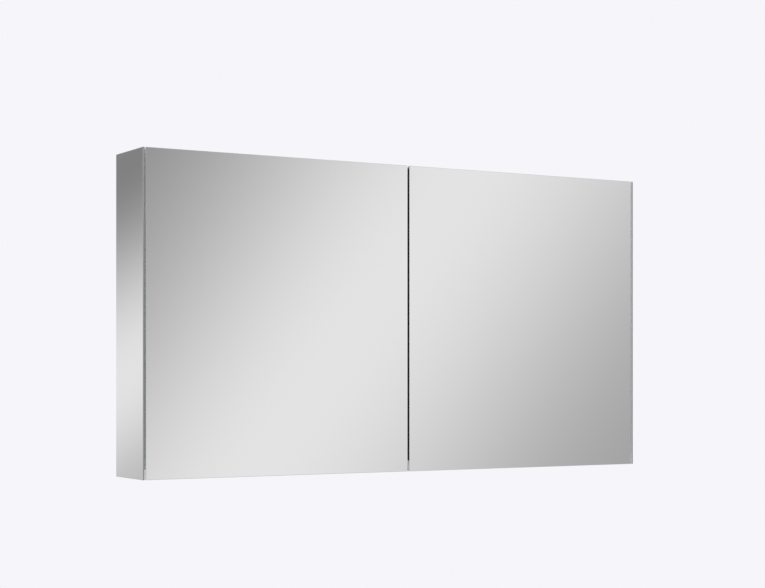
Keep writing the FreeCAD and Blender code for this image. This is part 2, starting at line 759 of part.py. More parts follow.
def front_edges(shape):
    """Numbers of the edges around the face of a block that looks to the front."""
    low = shape.BoundBox.YMin
    return [i for i, edge in enumerate(shape.Edges, start=1)
            if abs(edge.BoundBox.YMin - low) < 1e-6 and abs(edge.BoundBox.YMax - low) < 1e-6]


def hanger_hook(hook_left):
    """A flat hook that reaches over the rail's lip and down behind it."""
    start = f"(-{PANEL_FRONT} - Sizes.hook_reach + 0.5)"
    tip = f"(-Sizes.rail_steel - 0.5 - {start})"
    tip_front = f"({tip} - Sizes.hook_steel)"
    body = new_body("hanger_hook", (hook_left, start, "Sizes.lip_top - Sizes.hook_tip"))
    section = new_sketch(body, "YZ_Plane")
    high = "Sizes.hook_tip + Sizes.hook_bar"
    outline(section, [
        ("0", "Sizes.hook_tip"), (tip_front, "Sizes.hook_tip"), (tip_front, "0"), (tip, "0"),
        (tip, high), ("0", high),
    ])
    pad(body, section, "Sizes.hook_steel")
    both_sides(body, "hanger_hook")


# ---------------------------------------------------------------- pivots on the carcass


def pivot_bracket(name, foot, inward):
    """A steel plate whose nose carries the door's pin; inward is 1 where the pin points up.

    The nose is narrow in front, so that the door's glass turns past it without touching.
    """
    body = new_body(name, (f"-{DOOR_SIDE}", "-Sizes.deep", foot))
    face = new_sketch(body, "XY_Plane")
    outline(face, [
        ("Sizes.pivot_side", "Sizes.pivot_depth - Sizes.nose_radius"),
        ("Sizes.plate_right", "Sizes.pivot_depth - Sizes.nose_radius"),
        ("Sizes.plate_right", "Sizes.plate_step"),
        ("Sizes.plate_far", "Sizes.plate_step"),
        ("Sizes.plate_far", "Sizes.plate_back"),
        ("Sizes.plate_left", "Sizes.plate_back"),
        ("Sizes.plate_left", "Sizes.plate_shoulder"),
        ("Sizes.waist_side", "Sizes.waist_depth"),
        ("Sizes.pivot_side - 0.95 * Sizes.nose_radius", "Sizes.pivot_depth + 0.3 * Sizes.nose_radius"),
    ])
    pad(body, face, "Sizes.plate")
    nose = new_sketch(body, "XY_Plane")
    circle(nose, "Sizes.pivot_side", "Sizes.pivot_depth", "Sizes.nose_radius")
    pad(body, nose, "Sizes.plate")

    outer = "0" if inward > 0 else "Sizes.plate"
    holes = new_sketch(body, "XY_Plane")
    for spot in ("Sizes.plate_screw_near", "Sizes.plate_screw_far"):
        circle(holes, spot, "Sizes.plate_screw_back", "Sizes.screw_radius + Sizes.bore_play")
    pocket(body, holes, "Sizes.plate", backwards=True)
    bevel_rims(body, number("Sizes.screw_radius + Sizes.bore_play"), number(outer),
               "Sizes.screw_head_deep")

    pin = new_sketch(body, "XY_Plane", "0" if inward < 0 else "Sizes.plate")
    circle(pin, "Sizes.pivot_side", "Sizes.pivot_depth", "Sizes.pin_radius")
    pad(body, pin, "Sizes.pin_long + Sizes.core_foot_gap", backwards=inward < 0)
    both_sides(body, name)


def pivot_screws():
    """Two countersunk screws through each pivot plate."""
    screws = []
    for side, outward, outer in (("foot", DOWN, f"{FOOT} - Sizes.plate"), ("head", UP, TOP)):
        for spot in ("near", "far"):
            across = f"-{DOOR_SIDE} + Sizes.plate_screw_{spot}"
            along = "Sizes.plate_screw_back - Sizes.deep"
            screws.append(wood_screw(f"{side}_{spot}_plate_screw", (across, along, outer), outward))
    left = compound_of("plate_screws_left", screws)
    group("pivot_bracket_screws", [left, mirror_image(left, "plate_screws_right")])


def thrust_washers():
    """A thin ring on each lower pin, which carries the door's weight."""
    ring = cylinder("washer_ring", ("0", "0", "0"), "Sizes.washer_radius", "Sizes.washer_thick")
    hole = cylinder("washer_hole", ("0", "0", "-1"), "Sizes.pin_radius + Sizes.bore_play",
                    "Sizes.washer_thick + 2")
    washer = cut("washer", ring, hole)
    place(washer, (f"-{DOOR_SIDE} + Sizes.pivot_side", "Sizes.pivot_depth - Sizes.deep", FOOT))
    group("thrust_washers", [washer, mirror_image(washer, "washer_right")])


# ---------------------------------------------------------------- door


def door_panes():
    """The front mirror, which hangs below the door's board, and the smaller inner mirror."""
    front = pane("door_mirror", "XZ_Plane", (f"-{DOOR_SIDE}", "-Sizes.deep", GLASS_FOOT), DOOR_WIDE,
                 "Sizes.tall", "Sizes.front_glass", backwards=True)
    both_sides(front, "door_mirror")
    foot = f"({FOOT} + Sizes.board + Sizes.inner_margin)"
    tall = f"({CARCASS_TALL} - 2 * Sizes.board - 2 * Sizes.inner_margin)"
    spot = (f"-{DOOR_SIDE} + Sizes.inner_side", DOOR_BACK, foot)
    wide = f"({DOOR_WIDE} - Sizes.inner_side - Sizes.inner_free)"
    inner = pane("inner_mirror", "XZ_Plane", spot, wide, tall, "Sizes.inner_glass", backwards=True)
    both_sides(inner, "inner_mirror")


def grip_rail():
    """The rail glued behind the foot of the door's glass, with a lip for the fingers."""
    spot = (f"-{DOOR_SIDE} + Sizes.grip_near", "Sizes.front_glass - Sizes.deep",
            f"{GLASS_FOOT} + Sizes.grip_rise")
    body = new_body("grip_rail", spot)
    section = new_sketch(body, "YZ_Plane")
    outline(section, [
        ("0", "0"),
        ("Sizes.grip_lip - Sizes.grip_bevel", "0"),
        ("Sizes.grip_lip", "Sizes.grip_bevel"),
        ("Sizes.grip_lip", "Sizes.grip_lip_tall - Sizes.grip_bevel"),
        ("Sizes.grip_lip - Sizes.grip_bevel", "Sizes.grip_lip_tall"),
        ("Sizes.grip_web", "Sizes.grip_lip_tall"),
        ("Sizes.grip_web", "Sizes.grip_tall - Sizes.grip_bevel"),
        ("Sizes.grip_web - Sizes.grip_bevel", "Sizes.grip_tall"),
        ("0", "Sizes.grip_tall"),
    ])
    pad(body, section, f"({DOOR_WIDE} - Sizes.grip_near - Sizes.grip_end)")
    both_sides(body, "grip_rail")


def door_board():
    """The door's core, notched for the pivot blocks and let in for their ears and the strikes."""
    tall = f"({CORE_TOP} - {CORE_FOOT})"
    far = f"({DOOR_WIDE} - 2 * Sizes.core_inset)"
    notch = "Sizes.block_long + Sizes.fit_play"
    low = "Sizes.block_tall + Sizes.fit_play"
    high = f"{tall} - Sizes.block_tall - Sizes.fit_play"
    spot = (f"-{DOOR_SIDE} + Sizes.core_inset", "Sizes.front_glass - Sizes.deep", CORE_FOOT)
    body = new_body("door_board", spot)
    face = new_sketch(body, "XZ_Plane")
    outline(face, [
        (notch, "0"), (far, "0"), (far, tall), (notch, tall), (notch, high), ("0", high),
        ("0", low), (notch, low),
    ])
    pad(body, face, "Sizes.core", backwards=True)

    ears = new_sketch(body, "XZ_Plane", "-Sizes.core")
    end = "Sizes.block_long + Sizes.ear_long + Sizes.fit_play"
    rectangle(ears, notch, "0", end, low)
    rectangle(ears, notch, high, end, tall)
    pocket(body, ears, "Sizes.ear_thick", backwards=True)

    strikes = new_sketch(body, "XZ_Plane", "-Sizes.core")
    across = f"{DOOR_SIDE} - Sizes.core_inset - Sizes.magnet_side"
    catch_levels = ("Sizes.catch_edge", f"{tall} - Sizes.catch_edge")
    for level in catch_levels:
        circle(strikes, across, level, "Sizes.strike_radius + Sizes.fit_play")
    pocket(body, strikes, "Sizes.strike_thick", backwards=True)

    screws = new_sketch(body, "XZ_Plane", "-Sizes.core")
    for level in ("Sizes.block_tall / 2", f"{tall} - Sizes.block_tall / 2"):
        for share in EAR_SCREWS:
            circle(screws, f"Sizes.block_long + Sizes.ear_long * {share}", level,
                   "Sizes.screw_radius + Sizes.bore_play")
    for level in catch_levels:
        circle(screws, across, level, "Sizes.screw_radius + Sizes.bore_play")
    pocket(body, screws, "Sizes.short_screw_long + 0.5", backwards=True)
    both_sides(body, "door_board")


def pivot_blocks():
    """A moulded block in each hinge corner of the door, bored for the pin, with a screwed ear."""
    blocks = []
    start = f"-{DOOR_SIDE} + Sizes.core_inset"
    for side, foot, mouth in (("foot", CORE_FOOT, CORE_FOOT),
                              ("head", f"{CORE_TOP} - Sizes.block_tall", CORE_TOP)):
        name = f"{side}_block"
        solid = box(f"{name}_solid", (start, "Sizes.front_glass - Sizes.deep", foot),
                    "Sizes.block_long", "Sizes.core", "Sizes.block_tall")
        ear_spot = (f"{start} + Sizes.block_long - 1", f"{DOOR_BACK} - Sizes.ear_thick", foot)
        ear = box(f"{name}_ear", ear_spot, "Sizes.ear_long + 1", "Sizes.ear_thick", "Sizes.block_tall")
        long = "Sizes.pin_long + 1"
        low = mouth + (" - 0.5" if side == "foot" else f" - ({long}) + 0.5")
        bore = cylinder(f"{name}_bore", (f"-{DOOR_SIDE} + Sizes.pivot_side",
                                         "Sizes.pivot_depth - Sizes.deep", low),
                        "Sizes.pin_radius + Sizes.bore_play", long)
        tools = [bore]
        for i, share in enumerate(EAR_SCREWS):
            across = f"{start} + Sizes.block_long + Sizes.ear_long * {share}"
            level = f"{foot} + Sizes.block_tall / 2"
            tools.append(countersunk_hole(f"{name}_hole_{i}", (across, DOOR_BACK, level)))
        blocks.append(cut(name, fuse(f"{name}_blank", [solid, ear]), fuse(f"{name}_tools", tools)))
    both_sides(compound_of("pivot_block_pair", blocks), "pivot_blocks")


def countersunk_hole(name, spot):
    """The hollow for one screw whose head is flush with a face that looks to the wall."""
    shank = cylinder(f"{name}_shank", ("0", "0", "-Sizes.ear_thick - 1"),
                     "Sizes.screw_radius + Sizes.bore_play", "Sizes.ear_thick + 1")
    sink = cone(f"{name}_sink", ("0", "0", "-Sizes.screw_head_deep"),
                "Sizes.screw_radius + Sizes.bore_play", "Sizes.screw_head + Sizes.bore_play",
                "Sizes.screw_head_deep")
    hollow = fuse(name, [shank, sink])
    place(hollow, spot, TO_WALL)
    return hollow


def strike_plates():
    """Small countersunk steel discs that the magnets hold, each with its screw."""
    discs, screws = [], []
    across = "-Sizes.magnet_side"
    for side, level in (("foot", f"{CORE_FOOT} + Sizes.catch_edge"),
                        ("head", f"{CORE_TOP} - Sizes.catch_edge")):
        disc = cylinder(f"{side}_strike_disc", (across, f"{DOOR_BACK} - Sizes.strike_thick", level),
                        "Sizes.strike_radius", "Sizes.strike_thick", TO_WALL)
        hollow = countersunk_hole(f"{side}_strike_hole", (across, DOOR_BACK, level))
        discs.append(cut(f"{side}_strike", disc, hollow))
        screws.append(wood_screw(f"{side}_strike_screw", (across, DOOR_BACK, level), TO_WALL,
                                 "Sizes.short_screw_long"))
    both_sides(compound_of("strike_pair", discs), "strike_plates")
    return screws


def door_screws(strike_screws):
    """The screws in the pivot blocks' ears and in the strike plates."""
    screws = list(strike_screws)
    start = f"-{DOOR_SIDE} + Sizes.core_inset + Sizes.block_long"
    for side, foot in (("foot", CORE_FOOT), ("head", f"{CORE_TOP} - Sizes.block_tall")):
        for i, share in enumerate(EAR_SCREWS):
            spot = (f"{start} + Sizes.ear_long * {share}", DOOR_BACK,
                    f"{foot} + Sizes.block_tall / 2")
            screws.append(wood_screw(f"{side}_ear_screw_{i}", spot, TO_WALL,
                                     "Sizes.short_screw_long"))
    both_sides(compound_of("door_screw_group", screws), "door_screws")


def door_bumpers():
    """Soft buttons on the back of the door that meet the top and bottom boards."""
    bumpers = []
    for side, level in (("foot", f"{CORE_FOOT} + Sizes.catch_edge"),
                        ("head", f"{CORE_TOP} - Sizes.catch_edge")):
        for spot in ("near", "far"):
            name = f"{side}_{spot}_bumper"
            skirt = cylinder(f"{name}_skirt", ("0", "0", "0"), "Sizes.bumper_radius",
                             "Sizes.bumper_thick / 2")
            dome = cone(f"{name}_dome", ("0", "0", "Sizes.bumper_thick / 2"), "Sizes.bumper_radius",
                        "Sizes.bumper_radius / 2", "Sizes.bumper_thick / 2")
            bumper = fuse(name, [skirt, dome])
            place(bumper, (f"-Sizes.bumper_{spot}", DOOR_BACK, level), TO_WALL)
            bumpers.append(bumper)
    both_sides(compound_of("bumper_group", bumpers), "door_bumpers")


# ---------------------------------------------------------------- build and export


def main():
    side_board()
    cross_board("top_board", f"({TOP} - Sizes.board)", 1)
    cross_board("bottom_board", f"({FOOT} + Sizes.board)", -1)
    centre_partition()
    back_panel()
    side_mirror()
    shelves()
    shelf_pins()
    carcass_fittings()
    catch_magnets()
    wall_rail()
    hangers()
    pivot_bracket("bottom_pivot_bracket", f"{FOOT} - Sizes.plate", 1)
    pivot_bracket("top_pivot_bracket", f"{TOP} - Sizes.plate", -1)
    pivot_screws()
    thrust_washers()
    door_panes()
    grip_rail()
    door_board()
    pivot_blocks()
    door_screws(strike_plates())
    door_bumpers()
    doc.recompute()
    check_and_write()


def check_and_write():
    for thing in doc.Objects:
        if "Invalid" in thing.State or "Error" in thing.State:
            raise RuntimeError(f"{thing.Label} failed: {thing.State}")
    for thing in parts:
        if thing.Shape.isNull() or not thing.Shape.isValid():
            raise RuntimeError(f"{thing.Label} has no valid shape")
    os.makedirs("parts", exist_ok=True)
    for thing in parts:
        thing.Shape.exportStep(f"parts/{thing.Label}.step")
        b = thing.Shape.BoundBox
        print(f"{thing.Label}: {len(thing.Shape.Solids)} solids, X {b.XMin:.1f}..{b.XMax:.1f}, "
              f"Y {b.YMin:.1f}..{b.YMax:.1f}, Z {b.ZMin:.1f}..{b.ZMax:.1f}")


main()
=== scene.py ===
import json
import math

import bmesh
import bpy
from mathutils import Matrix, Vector


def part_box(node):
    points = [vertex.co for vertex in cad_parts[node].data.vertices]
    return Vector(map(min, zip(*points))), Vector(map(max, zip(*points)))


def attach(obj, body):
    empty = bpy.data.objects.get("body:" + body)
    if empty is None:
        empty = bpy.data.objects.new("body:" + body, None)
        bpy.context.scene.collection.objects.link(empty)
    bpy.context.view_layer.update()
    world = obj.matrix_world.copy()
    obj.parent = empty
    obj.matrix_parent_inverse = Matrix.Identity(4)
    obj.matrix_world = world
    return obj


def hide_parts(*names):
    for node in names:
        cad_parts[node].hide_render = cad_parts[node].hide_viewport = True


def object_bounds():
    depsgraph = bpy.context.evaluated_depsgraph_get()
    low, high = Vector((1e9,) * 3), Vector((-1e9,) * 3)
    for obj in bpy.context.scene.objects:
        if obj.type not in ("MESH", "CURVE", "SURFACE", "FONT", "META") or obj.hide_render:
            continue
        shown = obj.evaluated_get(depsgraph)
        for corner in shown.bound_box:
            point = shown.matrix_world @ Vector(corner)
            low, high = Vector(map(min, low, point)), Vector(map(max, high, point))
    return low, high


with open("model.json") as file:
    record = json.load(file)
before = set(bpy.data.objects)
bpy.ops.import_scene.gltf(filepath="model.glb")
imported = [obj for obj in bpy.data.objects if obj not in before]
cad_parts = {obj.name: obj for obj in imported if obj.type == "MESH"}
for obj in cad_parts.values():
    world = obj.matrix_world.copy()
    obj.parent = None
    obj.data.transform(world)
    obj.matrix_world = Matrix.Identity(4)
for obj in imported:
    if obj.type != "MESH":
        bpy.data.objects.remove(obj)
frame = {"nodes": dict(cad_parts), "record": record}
CAD_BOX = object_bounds()

# A wall-hung mirror cabinet. Every CAD node gets a procedural material here, and all stay as they
# are but the shelf pins and door bumpers, which turned pieces stand for.
# Metres throughout, in the frame of the CAD model: the doors face -Y and +Z is up.

# ---------------------------------------------------------------- camera and studio numbers

CAMERA_SPOT = (-1.868, -3.227, -0.379)
CAMERA_YAW = math.radians(-30.307)
CAMERA_LENS = 80.47  # millimetres, on a sensor 36 mm wide
CAMERA_SHIFT = 0.1042
PALE = (0.922, 0.914, 0.956)  # the pale lavender of floor and backdrop
FLOOR_DROP = 2.6  # from the cabinet's lower edge to the floor
FLOOR_RADIUS = 7.0
MIRROR_TINT = (0.908, 0.908, 0.908)

# ---------------------------------------------------------------- node helpers


class Nodes:
    """A short way to write a node tree: each call adds one node and links its inputs."""

    def __init__(self, tree):
        self.tree = tree
        tree.nodes.clear()

    def add(self, kind, inputs=None, **settings):
        node = self.tree.nodes.new(kind)
        for name, setting in settings.items():
            setattr(node, name, setting)
        for name, source in (inputs or {}).items():
            self.feed(node.inputs[name], source)
        return node

    def feed(self, socket, source):
        if isinstance(source, bpy.types.NodeSocket):
            self.tree.links.new(source, socket)
        else:
            socket.default_value = source

    def math(self, operation, a, b=0.0):
        return self.add("ShaderNodeMath", {0: a, 1: b}, operation=operation).outputs[0]

    def remap(self, value, low, high, new_low=0.0, new_high=1.0, kind="LINEAR"):
        inputs = {"Value": value, "From Min": low, "From Max": high, "To Min": new_low, "To Max": new_high}
        return self.add("ShaderNodeMapRange", inputs, interpolation_type=kind).outputs["Result"]

    def dot(self, vector, direction):
        node = self.add("ShaderNodeVectorMath", {0: vector, 1: direction}, operation="DOT_PRODUCT")
        return node.outputs["Value"]

    def mix_colour(self, factor, a, b):
        node = self.add("ShaderNodeMix", data_type="RGBA")
        for socket, source in ((node.inputs[0], factor), (node.inputs[6], a), (node.inputs[7], b)):
            self.feed(socket, with_alpha(source))
        return node.outputs[2]

    def mix_number(self, factor, a, b):
        node = self.add("ShaderNodeMix", data_type="FLOAT")
        for socket, source in ((node.inputs[0], factor), (node.inputs[2], a), (node.inputs[3], b)):
            self.feed(socket, source)
        return node.outputs[0]

    def ramp(self, value, stops):
        node = self.add("ShaderNodeValToRGB", {"Fac": value})
        ramp = node.color_ramp
        ramp.interpolation = "B_SPLINE"
        while len(ramp.elements) < len(stops):
            ramp.elements.new(0.5)
        for element, (position, grey) in zip(ramp.elements, stops):
            element.position = position
            element.color = (grey, grey, grey, 1.0)
        return node.outputs["Color"]

    def noise(self, place, scale, detail=3.0, rough=0.55, stretch=(1, 1, 1)):
        spot = self.add("ShaderNodeMapping", {"Vector": place, "Scale": stretch}).outputs[0]
        inputs = {"Vector": spot, "Scale": scale, "Detail": detail, "Roughness": rough}
        return self.add("ShaderNodeTexNoise", inputs).outputs["Fac"]

    def bump(self, height, distance, strength=1.0, normal=None):
        inputs = {"Height": height, "Distance": distance, "Strength": strength}
        if normal:
            inputs["Normal"] = normal
        return self.add("ShaderNodeBump", inputs).outputs[0]


def with_alpha(colour):
    if isinstance(colour, (tuple, list)) and len(colour) == 3:
        return (*colour, 1.0)
    return colour


def new_material(name):
    """A material with one Principled shader; returns it, its nodes, place and facing."""
    material = bpy.data.materials.new(name)
    material.use_nodes = True
    nodes = Nodes(material.node_tree)
    shader = nodes.add("ShaderNodeBsdfPrincipled")
    nodes.add("ShaderNodeOutputMaterial", {"Surface": shader.outputs[0]})
    coordinates = nodes.add("ShaderNodeTexCoord").outputs
    return material, nodes, shader, coordinates["Object"], coordinates["Normal"]


# ---------------------------------------------------------------- materials

GAP_SHADE_FADE = 0.0005  # over which the painted shade on the doors' meeting edge begins


def mirror(name, facing, meeting, gap_shade_foot):
    """A silvered pane: mirror on the side it faces, ground glass edges, painted back.

    Above the foot of the door's board, the edge that looks towards meeting, where the two doors
    meet, is painted near-black: painted shade of the narrow gap between the doors.
    """
    material, nodes, shader, place, normal = new_material(name)
    toward = nodes.dot(normal, facing)
    silver = nodes.remap(toward, 0.90, 0.97)
    back = nodes.remap(toward, -0.90, -0.97)
    arris = nodes.remap(nodes.math("ABSOLUTE", toward), 0.35, 0.6)
    painted_light_upright = nodes.remap(nodes.math("ABSOLUTE", nodes.dot(normal, (1, 0, 0))), 0.6, 0.9)
    cloud = nodes.noise(place, 3.0, 2.0)
    edge_grain = nodes.noise(place, 900.0, 2.0)
    edge = nodes.mix_colour(edge_grain, (0.19, 0.21, 0.215), (0.25, 0.27, 0.275))
    # Painted light: the upright glass edges, facing X, are painted pale (0.80) as if the glass carried
    # light; the top and bottom edges keep the dark grey-green.
    edge = nodes.mix_colour(painted_light_upright, edge, (0.80, 0.82, 0.82))
    # Painted shade: above the board's foot the glass edge where the doors meet is made near-black, standing
    # in for the shadow in the gap between them.
    above = nodes.remap(nodes.dot(place, (0, 0, 1)), gap_shade_foot, gap_shade_foot + GAP_SHADE_FADE)
    edge_band_and_gap_shade = nodes.math("MULTIPLY", nodes.remap(nodes.dot(normal, meeting), 0.8, 0.95), above)
    edge = nodes.mix_colour(edge_band_and_gap_shade, edge, (0.018, 0.018, 0.019))
    edge = nodes.mix_colour(arris, edge, (0.40, 0.42, 0.425))
    paint = nodes.mix_colour(nodes.noise(place, 60.0), (0.66, 0.67, 0.67), (0.74, 0.75, 0.75))
    glass = nodes.mix_colour(cloud, MIRROR_TINT, tuple(0.995 * c for c in MIRROR_TINT))
    colour = nodes.mix_colour(back, nodes.mix_colour(silver, edge, glass), paint)
    nodes.feed(shader.inputs["Base Color"], colour)
    nodes.feed(shader.inputs["Metallic"], silver)
    polish = nodes.remap(nodes.noise(place, 40.0, 4.0), 0.3, 0.7, 0.008, 0.016)
    rough = nodes.mix_number(silver, 0.22, polish)
    nodes.feed(shader.inputs["Roughness"], nodes.mix_number(back, rough, 0.55))
    waves = nodes.bump(nodes.noise(place, 2.2, 1.0), 0.00004)
    nodes.feed(shader.inputs["Normal"], waves)
    return material


def clear_glass(name):
    """Clear float glass with green, ground edges."""
    material, nodes, shader, place, normal = new_material(name)
    flat = nodes.remap(nodes.math("ABSOLUTE", nodes.dot(normal, (0, 0, 1))), 0.5, 0.9)
    edge = nodes.mix_colour(nodes.noise(place, 300.0), (0.36, 0.62, 0.55), (0.46, 0.72, 0.64))
    nodes.feed(shader.inputs["Base Color"], nodes.mix_colour(flat, edge, (0.93, 0.975, 0.96)))
    nodes.feed(shader.inputs["Roughness"], nodes.mix_number(flat, 0.18, 0.01))
    nodes.feed(shader.inputs["Normal"], nodes.bump(nodes.noise(place, 5.0, 1.0), 0.00005))
    shader.inputs["IOR"].default_value = 1.52
    shader.inputs["Transmission Weight"].default_value = 1.0
    return material


def melamine(name, dark, light, edge_shade=0.9):
    """Melamine-faced board: a fine pearl texture, with a slightly different edge band in front."""
    material, nodes, shader, place, normal = new_material(name)
    edge_band_and_gap_shade = nodes.remap(nodes.math("ABSOLUTE", nodes.dot(normal, (0, 1, 0))), 0.5, 0.9)
    face = nodes.mix_colour(nodes.noise(place, 14.0, 5.0), dark, light)
    flecks = nodes.remap(nodes.noise(place, 1400.0, 2.0), 0.35, 0.65)
    shaded = nodes.mix_colour(nodes.math("MULTIPLY", flecks, 0.35), face, tuple(0.86 * c for c in dark))
    banded = nodes.mix_colour(edge_band_and_gap_shade, shaded, tuple(edge_shade * c for c in light))
    nodes.feed(shader.inputs["Base Color"], banded)
    nodes.feed(shader.inputs["Roughness"], nodes.remap(flecks, 0.0, 1.0, 0.34, 0.46))
    pearl = nodes.bump(nodes.noise(place, 1100.0, 2.0), 0.00006, 0.6)
    nodes.feed(shader.inputs["Normal"], nodes.bump(nodes.noise(place, 90.0, 2.0), 0.00004, 0.5, pearl))
    return material


def metal(name, colour, rough, stretch, scale, spangle=0.0):
    """Plated or brushed metal: fine lines along one direction, cloudy patches and zinc crystals."""
    material, nodes, shader, place, _ = new_material(name)
    lines = nodes.noise(place, scale, 3.0, 0.6, stretch)
    patches = nodes.noise(place, 120.0, 4.0)
    dull = tuple(0.82 * c for c in colour)
    base = nodes.mix_colour(nodes.remap(patches, 0.35, 0.65), dull, colour)
    if spangle:
        cells = nodes.add("ShaderNodeTexVoronoi", {"Vector": place, "Scale": 170.0}).outputs["Color"]
        tone = nodes.add("ShaderNodeSeparateColor", {"Color": cells}).outputs["Red"]
        base = nodes.mix_colour(nodes.math("MULTIPLY", tone, spangle), base, dull)
    nodes.feed(shader.inputs["Base Color"], base)
    nodes.feed(shader.inputs["Roughness"], nodes.remap(lines, 0.25, 0.75, rough * 0.75, rough * 1.3))
    nodes.feed(shader.inputs["Normal"], nodes.bump(lines, 0.00003, 0.5))
    shader.inputs["Metallic"].default_value = 1.0
    return material


def moulded(name, colour, rough=0.42, see_through=0.0):
    """Moulded plastic or silicone with a faint spark-eroded grain."""
    material, nodes, shader, place, _ = new_material(name)
    cloud = nodes.remap(nodes.noise(place, 35.0, 3.0), 0.3, 0.7)
    nodes.feed(shader.inputs["Base Color"], nodes.mix_colour(cloud, tuple(0.93 * c for c in colour), colour))
    grain = nodes.noise(place, 2200.0, 2.0)
    nodes.feed(shader.inputs["Roughness"], nodes.remap(grain, 0.3, 0.7, rough * 0.85, rough * 1.15))
    nodes.feed(shader.inputs["Normal"], nodes.bump(grain, 0.00003, 0.5))
    shader.inputs["Transmission Weight"].default_value = see_through
    shader.inputs["IOR"].default_value = 1.45
    return material


def wood(name):
    """Plain beech: long fine pores and soft growth bands along the dowel."""
    material, nodes, shader, place, _ = new_material(name)
    bands = nodes.noise(place, 160.0, 4.0, 0.6, (0.08, 1, 1))
    pores = nodes.remap(nodes.noise(place, 1500.0, 3.0, 0.6, (0.06, 1, 1)), 0.52, 0.62)
    base = nodes.mix_colour(bands, (0.50, 0.33, 0.18), (0.66, 0.47, 0.28))
    nodes.feed(shader.inputs["Base Color"], nodes.mix_colour(pores, base, (0.34, 0.20, 0.10)))
    nodes.feed(shader.inputs["Roughness"], nodes.remap(bands, 0.3, 0.7, 0.5, 0.65))
    nodes.feed(shader.inputs["Normal"], nodes.bump(pores, 0.00008, 0.6))
    return material


def dress_nodes():
    """Gives every CAD node its material by its slot, and each pane one for the ways it faces."""
    by_slot = {
        "shelf_glass": clear_glass("shelf_glass"),
        "cabinet_board": melamine("cabinet_board", (0.50, 0.50, 0.505), (0.57, 0.57, 0.575)),
        "back_panel": melamine("back_panel", (0.47, 0.47, 0.475), (0.53, 0.53, 0.535)),
        "door_board": melamine("door_board", (0.020, 0.020, 0.022), (0.030, 0.030, 0.032), 0.8),
        "nickel": metal("nickel", (0.72, 0.70, 0.66), 0.20, (1, 1, 0.1), 700.0),
        "zinc": metal("zinc", (0.60, 0.62, 0.64), 0.34, (0.15, 1, 1), 500.0, 0.35),
        "steel": metal("steel", (0.58, 0.585, 0.59), 0.28, (0.05, 1, 1), 900.0),
        "aluminium": metal("aluminium", (0.80, 0.805, 0.81), 0.38, (0.03, 1, 1), 1200.0),
        "beech": wood("beech"),
        "magnet": metal("magnet", (0.13, 0.13, 0.14), 0.38, (1, 0.2, 1), 400.0),
        "grey_plastic": moulded("grey_plastic", (0.45, 0.45, 0.445)),
        "nylon": moulded("nylon", (0.72, 0.72, 0.69), 0.36),
        "bumper": moulded("bumper", (0.86, 0.88, 0.90), 0.25, 0.75),
    }
    nowhere = (0, 0, 0)
    board_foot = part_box("left_door_board")[0][2]
    panes = {
        "left_side_mirror": ((-1, 0, 0), nowhere),
        "right_side_mirror": ((1, 0, 0), nowhere),
        "left_door_mirror": ((0, -1, 0), (1, 0, 0)),
        "right_door_mirror": ((0, -1, 0), (-1, 0, 0)),
        "left_inner_mirror": ((0, 1, 0), nowhere),
        "right_inner_mirror": ((0, 1, 0), nowhere),
    }
    slots = {part["node"]: part["material_slot"] for part in frame["record"]["subparts"]}
    for name, thing in frame["nodes"].items():
        if name in panes:
            facing, meeting = panes[name]
            material = mirror(name, facing, meeting, board_foot)
        else:
            material = by_slot[slots[name]]
        for slot in thing.material_slots:
            slot.material = material
    return by_slot


# ---------------------------------------------------------------- turned pieces

FACETS = 32  # around a turned piece
SHARP = math.radians(35)  # a steeper fold than this is an edge, and isn't smoothed
ROUND_STEPS = 4  # along the rounded end of a pin
DOME_STEPS = 8
PIN_HEAD = 0.003  # radii
PIN_SHANK = 0.0024
PIN_IN = 0.0075  # from the board's face to the tip of the shank
PIN_OUT = 0.009  # from the board's face to the end of the head
PIN_ROUNDING = 0.0009
PIN_BEVEL = 0.0003
NOTCH_SLOPE = 0.0002  # length of the sloped side of a ring cut into a pin
SHANK_NOTCHES = 5
SHANK_NOTCH_START = 0.006  # from the board's face to the deepest ring on the shank
SHANK_NOTCH_PITCH = 0.00105
SHANK_NOTCH_WIDE = 0.0007
SHANK_NOTCH_DEEP = 0.00018
HEAD_NOTCH_START = 0.0014
HEAD_NOTCH_WIDE = 0.0008
HEAD_NOTCH_DEEP = 0.00024
BUMPER_RADIUS = 0.004
BUMPER_SKIRT = 0.0006


def turned(name, profile, places):
    """Equal turned shapes in one mesh: the profile lists (along, radius), places (spot, heading)."""
    shape = bmesh.new()
    for spot, heading in places:
        turn = Vector(heading).to_track_quat("Z", "Y")
        rings = []
        for along, radius in profile:
            angles = (2 * math.pi * step / FACETS for step in range(FACETS))
            points = (Vector((radius * math.cos(a), radius * math.sin(a), along)) for a in angles)
            rings.append([shape.verts.new(Vector(spot) + turn @ point) for point in points])
        for ring, beyond in zip(rings, rings[1:]):
            for step in range(FACETS):
                after = (step + 1) % FACETS
                shape.faces.new((ring[step], ring[after], beyond[after], beyond[step]))
        shape.faces.new(reversed(rings[0]))
        shape.faces.new(rings[-1])
    mesh = bpy.data.meshes.new(name)
    shape.to_mesh(mesh)
    shape.free()
    mesh.shade_smooth()
    mesh.set_sharp_from_angle(angle=SHARP)
    piece = bpy.data.objects.new(name, mesh)
    bpy.context.scene.collection.objects.link(piece)
    return piece


def finish_piece(piece, body, node, slot, materials):
    """Lets a piece stand for a CAD node, on its body and with the finish of its slot."""
    piece.data.materials.append(materials[slot])
    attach(piece, body)
    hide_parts(node)


def notch(start, wide, radius, deep):
    """Profile points of one ring cut into a pin."""
    floor_radius = radius - deep
    return [(start, radius), (start + NOTCH_SLOPE, floor_radius),
            (start + wide - NOTCH_SLOPE, floor_radius), (start + wide, radius)]


